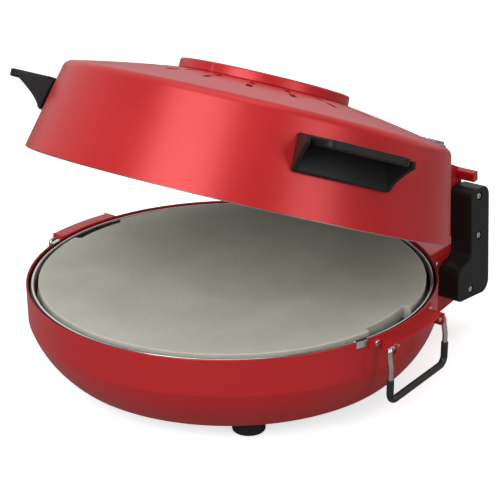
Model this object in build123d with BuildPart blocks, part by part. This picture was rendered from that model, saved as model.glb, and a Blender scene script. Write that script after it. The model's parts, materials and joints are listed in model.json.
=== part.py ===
from build123d import *
from math import asin, atan2, cos, degrees, radians, sin, sqrt
import os

os.makedirs("parts", exist_ok=True)

# Countertop pizza oven, millimetres. Origin on the table under the centre of the stone,
# -Y to the front, +Z up. The lid is stored part open; joint value 0 is this pose.

# ---- driving dimensions -------------------------------------------------------------
SHELL_R = 170.0          # outer radius of the round base
RIM_Z = 81.0             # top of the base's rim
CREASE_Z = 51.5          # where the upright wall turns in to the tapered lower part
FOOT_H = 13.5
FLOOR_R = 147.0          # radius of the base at its lower edge
SHEET = 1.6              # painted steel of the base
LID_SHEET = 1.2

PIVOT_Y, PIVOT_Z = 173.0, 90.0   # lid hinge axis, along X
LID_CLOSED_Z = 80.5      # lower edge of the closed lid
LID_TILT = 21.9          # degrees that the lid stands open when stored
LID_R = 176.5            # lid radius at its lower edge
LID_TOP_R = 160.0        # lid radius where wall and dome would meet
LID_WALL_H = 73.0        # height of that meeting above the lower edge

HOUSING_X = 112.5        # half width of the rear housing
HOUSING_BACK = 187.0
DECK_Z = 78.8            # top of the rear housing
BLOCK_IN, BLOCK_OUT = 112.6, 133.0   # X span of a hinge block
PIN_R = 4.0
RUNNING = 0.06           # radial clearance of a turning fit
GAP = 0.05               # clearance between pieces that are fastened together

BAIL_Y = 2.0             # centre of the carrying bails along Y
BAIL_HALF = 38.0         # half the distance between a bail's legs
EAR_Y, EAR_HALF = 3.0, 32.5   # middle of a bracket's ears along Y, and half their distance
BAIL_PIVOT_X, BAIL_PIVOT_Z = 180.5, 74.7
WIRE_R, SLEEVE_R = 2.1, 2.8

STONE_R, STONE_TOP, STONE_T = 160.0, 81.0, 11.0
ELEMENT_R = 3.25         # radius of a heating element's tube
COLLAR_R = 4.2           # radius of the collar at each end of it
OPEN_HALF = 9.0          # half the ring's opening at the back, degrees
LOWER_RING_R, UPPER_RING_R = 110.0, 105.0

# ---- planes and helpers -------------------------------------------------------------
tilt = radians(LID_TILT)
arm_y, arm_z = -PIVOT_Y, LID_CLOSED_Z - PIVOT_Z
LID = Plane(
    origin=(
        0,
        PIVOT_Y + arm_y * cos(tilt) + arm_z * sin(tilt),
        PIVOT_Z - arm_y * sin(tilt) + arm_z * cos(tilt),
    ),
    x_dir=(1, 0, 0),
    z_dir=(0, sin(tilt), cos(tilt)),
)
LID_AXIS = Axis(LID.origin, LID.z_dir)
LID_SECTION = Plane(origin=LID.origin, x_dir=LID.x_dir, z_dir=-LID.y_dir)
LID_SIDE = Plane(origin=LID.origin, x_dir=LID.y_dir, z_dir=LID.x_dir)
SIDE = Plane.YZ


def keep(piece, label):
    """Label a finished piece and write it to its own STEP file."""
    piece.part.label = label
    export_step(piece.part, f"parts/{label}.step")


def lid_point(x, y, h):
    """A point given in the lid's own frame: h is the height above its lower edge."""
    return LID.from_local_coords(Vector(x, y, h))


def radial_plane(angle):
    """The upright plane through the Z axis at this angle from +X: x is radius, y is height."""
    turn = radians(angle)
    return Plane(origin=(0, 0, 0), x_dir=(cos(turn), sin(turn), 0), z_dir=(sin(turn), -cos(turn), 0))


def wall_r(h):
    """Outer radius of the lid's slanted wall at height h."""
    return LID_R + (LID_TOP_R - LID_R) * h / LID_WALL_H


def cap_screw(plane, head_r, head_h, shank_r, length):
    """A round-headed screw whose head stands on the plane and whose shank goes below it."""
    with BuildPart() as screw:
        with BuildSketch(plane):
            Circle(head_r)
        extrude(amount=head_h)
        fillet(screw.faces().sort_by(Axis(plane.origin, plane.z_dir))[-1].edges(), head_h * 0.4)
        with BuildSketch(plane.offset(head_h)):
            Rectangle(head_r * 1.1, head_r * 0.25)
            Rectangle(head_r * 0.25, head_r * 1.1)
        extrude(amount=-head_h * 0.45, mode=Mode.SUBTRACT)
        with BuildSketch(plane):
            Circle(shank_r)
        extrude(amount=-length)
    return screw.part


def element_feet(ring_r):
    """Where the two ends of an open heating ring stand, either side of the back."""
    x, y = ring_r * sin(radians(OPEN_HALF)), ring_r * cos(radians(OPEN_HALF))
    return [(x, y), (-x, y)]


def heating_element(frame, ring_r, leg):
    """A tubular ring in the frame's XY plane, open at the back, each end on a collared leg."""
    x, y = element_feet(ring_r)[0]
    start = frame.from_local_coords(Vector(x, y, 0))
    along = frame.from_local_coords(Vector(x + y, y - x, 0)) - start
    with BuildPart() as ring:
        with BuildSketch(Plane(origin=start, z_dir=along)):
            Circle(ELEMENT_R)
        revolve(axis=Axis(frame.origin, -frame.z_dir), revolution_arc=360 - 2 * OPEN_HALF)
        with BuildSketch(frame.offset(ELEMENT_R + 0.8 if leg < 0 else -ELEMENT_R - 0.8)):
            with Locations(*element_feet(ring_r)):
                Circle(COLLAR_R)
        extrude(amount=leg)
    return ring.part


# ---- base ---------------------------------------------------------------------------
FLOOR_Z = FOOT_H + 1.2   # underside of the shell, on top of the bottom cover
REAR_RIM_Z, LOW_RIM_HALF = 79.0, 29.0   # the lower part of the rim, and half its angle
FOOT_RING, FOOT_R = 125.0, 13.0
FLANGE_R = 112.0
TAPER_BULGE = (161.0, 31.5)


def base_outline(grow):
    """Outer line of the base's shell, moved outward by grow, from rim to lower edge."""
    Line((SHELL_R + grow, RIM_Z), (SHELL_R + grow, CREASE_Z))
    ThreePointArc(
        (SHELL_R + grow, CREASE_Z),
        (TAPER_BULGE[0] + grow, TAPER_BULGE[1]),
        (FLOOR_R + grow, FLOOR_Z),
    )


with BuildPart() as base_shell:
    with BuildSketch(Plane.XZ):
        with BuildLine():
            base_outline(0)
            Polyline(
                (FLOOR_R, FLOOR_Z),
                (FLANGE_R, FLOOR_Z),
                (FLANGE_R, FLOOR_Z + SHEET),
                (FLOOR_R - 1.0, FLOOR_Z + SHEET),
            )
            ThreePointArc(
                (FLOOR_R - 1.0, FLOOR_Z + SHEET),
                (TAPER_BULGE[0] - SHEET, TAPER_BULGE[1] + 0.9),
                (SHELL_R - SHEET, CREASE_Z),
            )
            Polyline((SHELL_R - SHEET, CREASE_Z), (SHELL_R - SHEET, RIM_Z), (SHELL_R, RIM_Z))
        make_face()
    revolve(axis=Axis.Z)
    fillet(base_shell.edges().group_by(Axis.Z)[-1], 0.6)
    with BuildSketch(Plane.XY.offset(FLOOR_Z)):
        with PolarLocations(FOOT_RING, 4, start_angle=45):
            Circle(2.2)
    extrude(amount=SHEET, mode=Mode.SUBTRACT)
    # The rim is lower at the back, where the lid's edge swings down past it.
    with BuildSketch(radial_plane(90 - LOW_RIM_HALF)):
        with Locations((SHELL_R, REAR_RIM_Z + 5)):
            Rectangle(20, 10)
    revolve(axis=Axis.Z, revolution_arc=2 * LOW_RIM_HALF, mode=Mode.SUBTRACT)
keep(base_shell, "base_shell")

with BuildPart() as base_envelope:
    with BuildSketch(Plane.XZ):
        with BuildLine():
            base_outline(GAP)
            Polyline(
                (FLOOR_R + GAP, FLOOR_Z), (FLOOR_R + GAP, 0), (0, 0), (0, RIM_Z + 5),
                (SHELL_R + GAP, RIM_Z + 5), (SHELL_R + GAP, RIM_Z),
            )
        make_face()
    revolve(axis=Axis.Z)

CABLE_X, CABLE_Z, CABLE_R = -60.0, 50.0, 6.0
HOUSING_FLOOR = ((118.0, 14.5), (HOUSING_BACK, 23.5))
with BuildPart() as hinge_housing:
    with BuildSketch(SIDE):
        with BuildLine():
            Polyline(
                HOUSING_FLOOR[0], HOUSING_FLOOR[1], (HOUSING_BACK, DECK_Z),
                (118.0, DECK_Z), HOUSING_FLOOR[0],
            )
        make_face()
    extrude(amount=HOUSING_X, both=True)
    fillet(hinge_housing.edges().filter_by(Axis.X).group_by(Axis.Y)[-1], 5)
    fillet(hinge_housing.edges().filter_by(Axis.Y).group_by(Axis.Z)[-1], 4)
    with BuildSketch(SIDE):
        with BuildLine():
            Polyline(
                (110.0, HOUSING_FLOOR[0][1] + SHEET - 1.0),
                (HOUSING_BACK - SHEET, HOUSING_FLOOR[1][1] + SHEET),
                (HOUSING_BACK - SHEET, DECK_Z - SHEET),
                (110.0, DECK_Z - SHEET),
                close=True,
            )
        make_face()
    extrude(amount=HOUSING_X - SHEET, both=True, mode=Mode.SUBTRACT)
    add(base_envelope.part, mode=Mode.SUBTRACT)
    with BuildSketch(Plane.XZ.offset(-HOUSING_BACK)):
        with Locations((CABLE_X, CABLE_Z)):
            Circle(CABLE_R)
    extrude(amount=SHEET * 2, both=True, mode=Mode.SUBTRACT)
keep(hinge_housing, "hinge_housing")

with BuildPart() as bottom_cover:
    with BuildSketch(Plane.XY.offset(FOOT_H)):
        Circle(FLOOR_R - 4)
        with PolarLocations(FOOT_RING, 4, start_angle=45):
            Circle(2.2, mode=Mode.SUBTRACT)
        with PolarLocations(60, 16):
            SlotOverall(34, 5, mode=Mode.SUBTRACT)
    extrude(amount=FLOOR_Z - FOOT_H)
keep(bottom_cover, "bottom_cover")

with BuildPart() as feet:
    with BuildSketch(Plane.XY):
        with PolarLocations(FOOT_RING, 4, start_angle=45):
            Circle(FOOT_R)
    extrude(amount=FOOT_H - GAP)
    fillet(feet.edges().group_by(Axis.Z)[0], 1.5)
    with BuildSketch(Plane.XY):
        with PolarLocations(FOOT_RING, 4, start_angle=45):
            Circle(5)
    extrude(amount=5, mode=Mode.SUBTRACT)
    with BuildSketch(Plane.XY):
        with PolarLocations(FOOT_RING, 4, start_angle=45):
            Circle(2.2)
    extrude(amount=FOOT_H, mode=Mode.SUBTRACT)
keep(feet, "feet")

foot_bolts = [
    cap_screw(Plane(origin=spot.position + Vector(0, 0, 4.9), z_dir=(0, 0, -1)), 4, 2.5, 2, 14)
    for spot in PolarLocations(FOOT_RING, 4, start_angle=45).locations
]
with BuildPart() as foot_screws:
    add(foot_bolts)
keep(foot_screws, "foot_screws")

# Enamelled pan: floor, slanted wall, ledge under the stone, upright wall and outer flange.
PAN_T = 0.8
PAN_FLOOR = 46.0
LEDGE_Z = STONE_TOP - STONE_T - 0.3
PAN_OUTER = [
    (SHELL_R - SHEET - 0.2, 73.0), (166.6, 77.4), (163.4, 77.4), (162.2, LEDGE_Z),
    (149.0, LEDGE_Z), (141.0, PAN_FLOOR), (0, PAN_FLOOR),
]
with BuildPart() as base_pan:
    with BuildSketch(Plane.XZ):
        with BuildLine():
            Polyline(*PAN_OUTER)
            Polyline(
                PAN_OUTER[-1], (0, PAN_FLOOR - PAN_T), (141.6, PAN_FLOOR - PAN_T),
                (149.6, LEDGE_Z - PAN_T), (163.0, LEDGE_Z - PAN_T), (164.1, 76.6), (166.2, 76.6),
                (SHELL_R - SHEET - 0.9, 72.6), PAN_OUTER[0],
            )
        make_face()
    revolve(axis=Axis.Z)
    with BuildSketch(Plane.XY.offset(PAN_FLOOR)):
        with Locations(*element_feet(LOWER_RING_R)):
            Circle(COLLAR_R + 0.35)
        with PolarLocations(125, 4):
            Circle(2.3)
    extrude(amount=PAN_T * 2, both=True, mode=Mode.SUBTRACT)
keep(base_pan, "base_pan")

TRIM_R = 1.2
with BuildPart() as pan_trim_ring:
    with BuildSketch(Plane.XZ):
        with Locations((165.0, 77.4 + TRIM_R + GAP)):
            Circle(TRIM_R)
    revolve(axis=Axis.Z)
keep(pan_trim_ring, "pan_trim_ring")

POST_R = 4.0
with BuildPart() as pan_posts:
    with BuildSketch(Plane.XY.offset(FLOOR_Z + SHEET)):
        with PolarLocations(125, 4):
            Circle(POST_R)
    extrude(amount=PAN_FLOOR - PAN_T - FLOOR_Z - SHEET - GAP)
    with BuildSketch(Plane.XY.offset(FLOOR_Z + SHEET)):
        with PolarLocations(125, 4):
            Circle(1.6)
    extrude(amount=60, mode=Mode.SUBTRACT)
keep(pan_posts, "pan_posts")

pan_bolts = [
    cap_screw(Plane(origin=spot.position + Vector(0, 0, PAN_FLOOR)), 3.4, 2.2, 1.5, 14)
    for spot in PolarLocations(125, 4).locations
]
with BuildPart() as pan_screws:
    add(pan_bolts)
keep(pan_screws, "pan_screws")

with BuildPart() as heat_shield:
    with BuildSketch(Plane.XY.offset(30.0)):
        Circle(140)
        with PolarLocations(125, 4):
            Circle(POST_R + GAP, mode=Mode.SUBTRACT)
        with Locations(*element_feet(LOWER_RING_R)):
            Circle(8, mode=Mode.SUBTRACT)
    extrude(amount=0.8)
keep(heat_shield, "heat_shield")

LOWER_Z = 57.0
with BuildPart() as lower_heating_element:
    add(heating_element(Plane.XY.offset(LOWER_Z), LOWER_RING_R, -32))
keep(lower_heating_element, "lower_heating_element")

CLIP_T = 1.0
with BuildPart() as lower_element_clips:
    with BuildSketch(Plane.XZ.offset(LOWER_RING_R - 5)):
        with BuildLine():
            Polyline(
                (-6, PAN_FLOOR + GAP), (6, PAN_FLOOR + GAP), (6, LOWER_Z - ELEMENT_R - GAP),
                (-6, LOWER_Z - ELEMENT_R - GAP), close=True,
            )
        make_face()
    extrude(amount=10)
    with BuildSketch(Plane.XZ.offset(LOWER_RING_R - 5)):
        with BuildLine():
            Polyline(
                (-5, PAN_FLOOR + GAP + CLIP_T), (5, PAN_FLOOR + GAP + CLIP_T),
                (5, LOWER_Z - ELEMENT_R - GAP - CLIP_T), (-5, LOWER_Z - ELEMENT_R - GAP - CLIP_T),
                close=True,
            )
        make_face()
    extrude(amount=10, mode=Mode.SUBTRACT)
    add([lower_element_clips.part.rotate(Axis.Z, turn) for turn in (90, 270)])
keep(lower_element_clips, "lower_element_clips")

with BuildPart() as thermal_cutout:
    with BuildSketch(Plane.XY.offset(PAN_FLOOR - PAN_T - GAP)):
        with Locations((40, 0)):
            Circle(8)
    extrude(amount=-7)
    with BuildSketch(Plane.XY.offset(PAN_FLOOR - PAN_T - GAP - 7)):
        with Locations((36, 0), (44, 0)):
            Rectangle(1, 4)
    extrude(amount=-5)
keep(thermal_cutout, "thermal_cutout")

with BuildPart() as terminal_block:
    with Locations((-20, HOUSING_BACK - 8, 55)):
        Box(34, 12, 14)
        with Locations((-10, 0, 7), (0, 0, 7), (10, 0, 7)):
            Cylinder(2.4, 8, mode=Mode.SUBTRACT)
    with BuildSketch(Plane.XY.offset(48)):
        with Locations((-20, HOUSING_BACK - 8)):
            Rectangle(46, 8)
    extrude(amount=3)
keep(terminal_block, "terminal_block")

with BuildPart() as cord_gland:
    with BuildSketch(Plane.XZ.offset(-HOUSING_BACK - GAP)):
        with Locations((CABLE_X, CABLE_Z)):
            Circle(9)
    extrude(amount=-3)
    fillet(cord_gland.edges().group_by(Axis.Y)[-1], 1)
    with BuildSketch(Plane.XZ.offset(-HOUSING_BACK - GAP)):
        with Locations((CABLE_X, CABLE_Z)):
            Circle(CABLE_R - GAP)
    extrude(amount=8)
    with BuildSketch(Plane.XZ.offset(-HOUSING_BACK - 4)):
        with Locations((CABLE_X, CABLE_Z)):
            Circle(3.6)
    extrude(amount=14, mode=Mode.SUBTRACT)
keep(cord_gland, "cord_gland")

# ---- stone --------------------------------------------------------------------------
NOTCH_HALF, NOTCH_DEPTH = 10.0, 6.0
with BuildPart() as stone_plate:
    with BuildSketch(Plane.XY.offset(STONE_TOP)):
        Circle(STONE_R)
    extrude(amount=-STONE_T)
    for middle in (0, 180):
        with BuildSketch(radial_plane(middle - NOTCH_HALF)):
            with Locations((STONE_R, STONE_TOP - STONE_T / 2)):
                Rectangle(2 * NOTCH_DEPTH, STONE_T + 2)
        revolve(axis=Axis.Z, revolution_arc=2 * NOTCH_HALF, mode=Mode.SUBTRACT)
    chamfer(stone_plate.edges().group_by(Axis.Z)[-1], 0.8)
keep(stone_plate, "stone_plate")

# ---- lid: shell, liner and window ---------------------------------------------------
DOME = ((LID_TOP_R, LID_WALL_H), (113.0, 82.2), (62.0, 90.0))   # radius, height
CORNER_R = 8.0
VENTS, VENT_START, VENT_W = 20, -4.5, 5.0
VENT_ROWS = ((86.0, 12.0), (105.0, 14.0))   # middle radius and length of a slot
KNOB_X, KNOB_Y, KNOB_R = 111.0, 84.0, 17.0
SEAT_R, SEAT_H = 18.6, 73.6             # flat round seat pressed into the dome for the dial
SPINDLE_R = 3.0


def dome_h(r):
    """Height of the lid's dome at radius r, on the circle through the three dome points."""
    (x1, z1), (x2, z2), (x3, z3) = DOME
    d = 2 * (x1 * (z2 - z3) + x2 * (z3 - z1) + x3 * (z1 - z2))
    q1, q2, q3 = x1**2 + z1**2, x2**2 + z2**2, x3**2 + z3**2
    cx = (q1 * (z2 - z3) + q2 * (z3 - z1) + q3 * (z1 - z2)) / d
    cz = (q1 * (x3 - x2) + q2 * (x1 - x3) + q3 * (x2 - x1)) / d
    return cz + sqrt((x1 - cx) ** 2 + (z1 - cz) ** 2 - (r - cx) ** 2)


with BuildPart() as under_dome:
    with BuildSketch(LID_SECTION) as dome_region:
        with BuildLine():
            Line((100, 60), (wall_r(60), 60))
            Line((wall_r(60), 60), DOME[0])
            ThreePointArc(*DOME)
            Polyline(DOME[2], (DOME[2][0], 60), (100, 60))
        make_face()
        fillet(dome_region.vertices().sort_by_distance((LID_TOP_R, LID_WALL_H))[0], CORNER_R)
    revolve(axis=LID_AXIS)

with BuildPart() as dial_seat:
    with BuildSketch(LID.offset(SEAT_H - LID_SHEET)):
        with Locations((KNOB_X, KNOB_Y)):
            Circle(SEAT_R + LID_SHEET)
    extrude(amount=20)
    with BuildSketch(LID.offset(SEAT_H)):
        with Locations((KNOB_X, KNOB_Y)):
            Circle(SEAT_R)
    extrude(amount=20, mode=Mode.SUBTRACT)
    add(under_dome.part, mode=Mode.INTERSECT)

with BuildPart() as lid_shell:
    with BuildSketch(LID_SECTION) as lid_wall:
        with BuildLine():
            Line((LID_R, 0), DOME[0])
            ThreePointArc(*DOME)
            Line(DOME[2], (DOME[2][0], DOME[2][1] - LID_SHEET))
            ThreePointArc(
                (DOME[2][0], DOME[2][1] - LID_SHEET),
                (DOME[1][0], DOME[1][1] - LID_SHEET),
                (LID_TOP_R - LID_SHEET, LID_WALL_H - LID_SHEET),
            )
            Line((LID_TOP_R - LID_SHEET, LID_WALL_H - LID_SHEET), (LID_R - LID_SHEET, 0))
            Line((LID_R - LID_SHEET, 0), (LID_R, 0))
        make_face()
        corners = lid_wall.vertices().sort_by_distance((LID_TOP_R, LID_WALL_H))
        fillet(corners[0], CORNER_R)
        corners = lid_wall.vertices().sort_by_distance((LID_TOP_R - LID_SHEET, LID_WALL_H - LID_SHEET))
        fillet(corners[0], CORNER_R - LID_SHEET)
    revolve(axis=LID_AXIS)
    for middle_r, length in VENT_ROWS:
        with BuildSketch(LID.offset(LID_WALL_H + 20)):
            with PolarLocations(middle_r, VENTS, start_angle=VENT_START):
                RectangleRounded(length, VENT_W, 0.6)
        extrude(amount=-25, mode=Mode.SUBTRACT)
    with BuildSketch(LID.offset(SEAT_H)):
        with Locations((KNOB_X, KNOB_Y)):
            Circle(SEAT_R)
    extrude(amount=20, mode=Mode.SUBTRACT)
    add(dial_seat.part)
    with BuildSketch(LID.offset(LID_WALL_H + 20)):
        with Locations((KNOB_X, KNOB_Y)):
            Circle(SPINDLE_R + 0.5)
    extrude(amount=-25, mode=Mode.SUBTRACT)
keep(lid_shell, "lid_shell")

LINER_T, LINER_TOP, LINER_R = 0.8, 62.0, 171.4
LINER_TOP_R = LINER_R - 14.2
INNER_WINDOW_R = 50.0
with BuildPart() as lid_liner:
    with BuildSketch(LID_SECTION) as liner_wall:
        with BuildLine():
            Polyline(
                (174.9, -LINER_T), (LINER_R, -LINER_T), (LINER_TOP_R, LINER_TOP - LINER_T),
                (INNER_WINDOW_R, LINER_TOP - LINER_T), (INNER_WINDOW_R, LINER_TOP),
                (LINER_TOP_R + 0.6, LINER_TOP), (LINER_R + LINER_T, 0), (174.9, 0),
                close=True,
            )
        make_face()
        fillet(liner_wall.vertices().sort_by_distance((LINER_TOP_R, LINER_TOP - LINER_T))[0], 6)
        fillet(liner_wall.vertices().sort_by_distance((LINER_TOP_R + 0.6, LINER_TOP))[0], 6.8)
    revolve(axis=LID_AXIS)
    with BuildSketch(LID.offset(LINER_TOP + 5)):
        with Locations(*element_feet(UPPER_RING_R)):
            Circle(COLLAR_R + 0.35)
    extrude(amount=-10, mode=Mode.SUBTRACT)
keep(lid_liner, "lid_liner")

RING_R, RING_TOP = 70.5, 96.7
with BuildPart() as window_ring:
    with BuildSketch(LID_SECTION) as ring_wall:
        with BuildLine():
            Polyline(
                (RING_R, dome_h(RING_R) + 0.2), (RING_R, RING_TOP), (64.2, RING_TOP),
                (64.2, 92.2), (58.5, 92.2), (58.5, 90.4), (62.2, 90.4),
                close=True,
            )
        make_face()
        fillet(ring_wall.vertices().sort_by_distance((RING_R, RING_TOP))[0], 1.5)
    revolve(axis=LID_AXIS)
keep(window_ring, "window_ring")

with BuildPart() as window_glass:
    with BuildSketch(LID.offset(92.2 + GAP)):
        Circle(64.0)
    extrude(amount=3.5)
keep(window_glass, "window_glass")

with BuildPart() as window_retainer:
    with BuildSketch(LID.offset(95.8 + GAP)):
        Circle(64.1)
        Circle(59.5, mode=Mode.SUBTRACT)
    extrude(amount=0.7)
keep(window_retainer, "window_retainer")

with BuildPart() as inner_window_glass:
    with BuildSketch(LID.offset(LINER_TOP + GAP)):
        Circle(INNER_WINDOW_R + 6)
    extrude(amount=4)
keep(inner_window_glass, "inner_window_glass")

with BuildPart() as glass_clips:
    with BuildSketch(LID.offset(LINER_TOP + 4 + 2 * GAP)):
        with PolarLocations(INNER_WINDOW_R + 6, 3, start_angle=30):
            RectangleRounded(14, 8, 2)
    extrude(amount=0.8)
    with BuildSketch(LID.offset(LINER_TOP + GAP)):
        with PolarLocations(INNER_WINDOW_R + 9.8, 3, start_angle=30):
            Rectangle(6, 8)
    extrude(amount=4.2)
keep(glass_clips, "glass_clips")

UPPER_H = 50.0
with BuildPart() as upper_heating_element:
    add(heating_element(LID.offset(UPPER_H), UPPER_RING_R, 24))
keep(upper_heating_element, "upper_heating_element")

with BuildPart() as upper_element_clips:
    for turn in (0, 180, 270):
        bearing = radians(turn)
        spot = lid_point(UPPER_RING_R * cos(bearing), UPPER_RING_R * sin(bearing), 0)
        outward = LID.x_dir * cos(bearing) + LID.y_dir * sin(bearing)
        hanger = Plane(origin=spot, x_dir=outward, z_dir=outward.cross(LID.z_dir))
        with BuildSketch(hanger):
            with Locations((0, (UPPER_H + LINER_TOP - LINER_T) / 2)):
                Rectangle(12, LINER_TOP - LINER_T - UPPER_H + 10)
                Rectangle(9.6, LINER_TOP - LINER_T - UPPER_H + 7.6, mode=Mode.SUBTRACT)
            with Locations((0, LINER_TOP - LINER_T - GAP + 5)):
                Rectangle(14, 10, mode=Mode.SUBTRACT)
        extrude(amount=4, both=True)
keep(upper_element_clips, "upper_element_clips")

# The dial's frame: on its seat, with x pointing away from the lid's axis.
KNOB = Plane(
    origin=lid_point(KNOB_X, KNOB_Y, SEAT_H),
    x_dir=LID.x_dir * KNOB_X + LID.y_dir * KNOB_Y,
    z_dir=LID.z_dir,
)
KNOB_LIFT = 0.9          # clearance between the knob's skirt and its seat
SKIRT_H, KNOB_H = 1.4, 4.2
with BuildPart() as timer_body:
    with BuildSketch(KNOB.offset(-LID_SHEET - GAP)):
        Circle(9)
    extrude(amount=-7.7)
    with BuildSketch(KNOB.offset(-LID_SHEET - GAP)):
        Circle(SPINDLE_R + RUNNING)
    extrude(amount=-6.9, mode=Mode.SUBTRACT)
keep(timer_body, "timer_body")

with BuildPart() as timer_knob:
    with BuildSketch(KNOB.offset(KNOB_LIFT)):
        Circle(KNOB_R)
    extrude(amount=SKIRT_H)
    with BuildSketch(KNOB.offset(KNOB_LIFT + SKIRT_H)):
        Circle(KNOB_R - 1.2)
    extrude(amount=KNOB_H - SKIRT_H)
    fillet(timer_knob.faces().sort_by(Axis(KNOB.origin, KNOB.z_dir))[-1].edges(), 1.0)
    with BuildSketch(KNOB.offset(KNOB_LIFT + KNOB_H)):
        with Locations((-(KNOB_R - 6), 0)):
            Rectangle(7, 1.4)
    extrude(amount=-0.6, mode=Mode.SUBTRACT)
    with BuildSketch(KNOB.offset(KNOB_LIFT)):
        Circle(SPINDLE_R)
    extrude(amount=-8.4)
print("knob axis through", KNOB.origin, "along", KNOB.z_dir)
keep(timer_knob, "timer_knob")

# ---- lid handles --------------------------------------------------------------------
HANDLE_ANGLE, HANDLE_HALF = -28.6, 13.6
HANDLE_LOW, HANDLE_HIGH = 30.0, 57.5
GRIP_OUT, GRIP_T = 38.0, 6.6
WEB_OUT = 30.0           # how far a handle's end web reaches under its grip


def lid_radial(angle):
    """The lid's own plane through its axis at this angle: x is radius, y is height."""
    turn = radians(angle)
    outward = LID.x_dir * cos(turn) + LID.y_dir * sin(turn)
    return Plane(origin=LID.origin, x_dir=outward, z_dir=outward.cross(LID.z_dir))


with BuildPart() as lid_envelope:
    with BuildSketch(LID_SECTION):
        with BuildLine():
            Polyline(
                (0, -5), (LID_R + GAP, -5), (LID_R + GAP, 0),
                (LID_TOP_R + GAP, LID_WALL_H), (0, LID_WALL_H), close=True,
            )
        make_face()
    revolve(axis=LID_AXIS)

with BuildPart() as right_lid_handle:
    with BuildSketch(lid_radial(HANDLE_ANGLE + HANDLE_HALF)):
        with BuildLine():
            Polyline(
                (wall_r(HANDLE_LOW) - 2, HANDLE_LOW), (wall_r(HANDLE_LOW) + 4.5, HANDLE_LOW),
                (wall_r(HANDLE_HIGH) + 3.5, HANDLE_HIGH), (wall_r(HANDLE_HIGH) - 2, HANDLE_HIGH),
                close=True,
            )
        make_face()
    revolve(axis=-LID_AXIS, revolution_arc=2 * HANDLE_HALF)
    with BuildSketch(
        Plane(
            origin=lid_point(0, 0, HANDLE_HIGH),
            x_dir=lid_radial(HANDLE_ANGLE).x_dir,
            z_dir=LID.z_dir,
        )
    ) as grip:
        with BuildLine():
            Polyline(
                (150, 38.4), (168, 39.2), (wall_r(HANDLE_HIGH) + GRIP_OUT, 33),
                (wall_r(HANDLE_HIGH) + GRIP_OUT, -33), (168, -39.2), (150, -38.4),
                close=True,
            )
        make_face()
        fillet(grip.vertices().group_by(Axis.X)[-1], 8)
    extrude(amount=-GRIP_T)
    for side_angle in (HANDLE_ANGLE + HANDLE_HALF, HANDLE_ANGLE - HANDLE_HALF + 1.1):
        with BuildSketch(lid_radial(side_angle)):
            root, foot = wall_r(HANDLE_HIGH), wall_r(HANDLE_LOW) + 4.2
            with BuildLine():
                Polyline(
                    (root - 2, HANDLE_HIGH - 1), (root + WEB_OUT, HANDLE_HIGH - 1),
                    (root + WEB_OUT, HANDLE_HIGH - GRIP_T),
                )
                ThreePointArc(
                    (root + WEB_OUT, HANDLE_HIGH - GRIP_T), (foot + 6.8, 41.8), (foot, HANDLE_LOW + 1.5)
                )
                Polyline((foot, HANDLE_LOW + 1.5), (foot - 6, HANDLE_LOW + 1.5), (root - 2, HANDLE_HIGH - 1))
            make_face()
        revolve(axis=-LID_AXIS, revolution_arc=1.1)
    add(lid_envelope.part, mode=Mode.SUBTRACT)
keep(right_lid_handle, "right_lid_handle")

with BuildPart() as left_lid_handle:
    mirror(right_lid_handle.part, about=Plane.YZ)
keep(left_lid_handle, "left_lid_handle")

# ---- lid hinge bracket --------------------------------------------------------------
ARM_IN, ARM_OUT = 108.4, 111.4
BAR_NEAR, BAR_LENGTH, BAR_DEPTH, BAR_OUT = 49.5, 8.6, 7.0, 128.8
STRAP_LOW, STRAP_HIGH, STRAP_T, STRAP_HALF = 44.0, 66.0, 2.0, 43.0
bar_lean = atan2(27.75, 47.6)   # how far forward of upright the bar stands, in the lid's frame
pivot_h = PIVOT_Z - LID_CLOSED_Z


def bar_corner(along, across):
    """A corner of the bar's section: along the line out from the pivot, and across it."""
    y = PIVOT_Y - along * sin(bar_lean) + across * cos(bar_lean)
    return (y, pivot_h + along * cos(bar_lean) + across * sin(bar_lean))


with BuildPart() as lid_hinge_bracket:
    with BuildSketch(lid_radial(90 - STRAP_HALF)):
        with BuildLine():
            Polyline(
                (wall_r(STRAP_LOW) - 2, STRAP_LOW), (wall_r(STRAP_LOW) + STRAP_T, STRAP_LOW),
                (wall_r(STRAP_HIGH) + STRAP_T, STRAP_HIGH), (wall_r(STRAP_HIGH) - 2, STRAP_HIGH),
                close=True,
            )
        make_face()
    revolve(axis=LID_AXIS, revolution_arc=2 * STRAP_HALF)
    for side in (1, -1):
        near, far = sorted((side * ARM_IN, side * ARM_OUT))
        with BuildSketch(LID_SIDE.offset(near)):
            with Locations((PIVOT_Y, pivot_h)):
                Circle(8)
            with BuildLine():
                Polyline(
                    (166.0, 5.7), (180.2, 13.3), bar_corner(52, 9), bar_corner(58.1, 6),
                    (118, STRAP_HIGH - 2), (120, STRAP_LOW + 2), (143, 42),
                    close=True,
                )
            make_face()
            with Locations((PIVOT_Y, pivot_h)):
                Circle(PIN_R + RUNNING, mode=Mode.SUBTRACT)
        extrude(amount=far - near)
        near, far = sorted((side * ARM_IN, side * BAR_OUT))
        with BuildSketch(LID_SIDE.offset(near)) as bar:
            with BuildLine():
                Polyline(
                    bar_corner(BAR_NEAR, 0), bar_corner(BAR_NEAR + BAR_LENGTH, 0),
                    bar_corner(BAR_NEAR + BAR_LENGTH, BAR_DEPTH), bar_corner(BAR_NEAR, BAR_DEPTH),
                    close=True,
                )
            make_face()
            fillet(bar.vertices(), 1.2)
        extrude(amount=far - near)
    add(lid_envelope.part, mode=Mode.SUBTRACT)
keep(lid_hinge_bracket, "lid_hinge_bracket")

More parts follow.
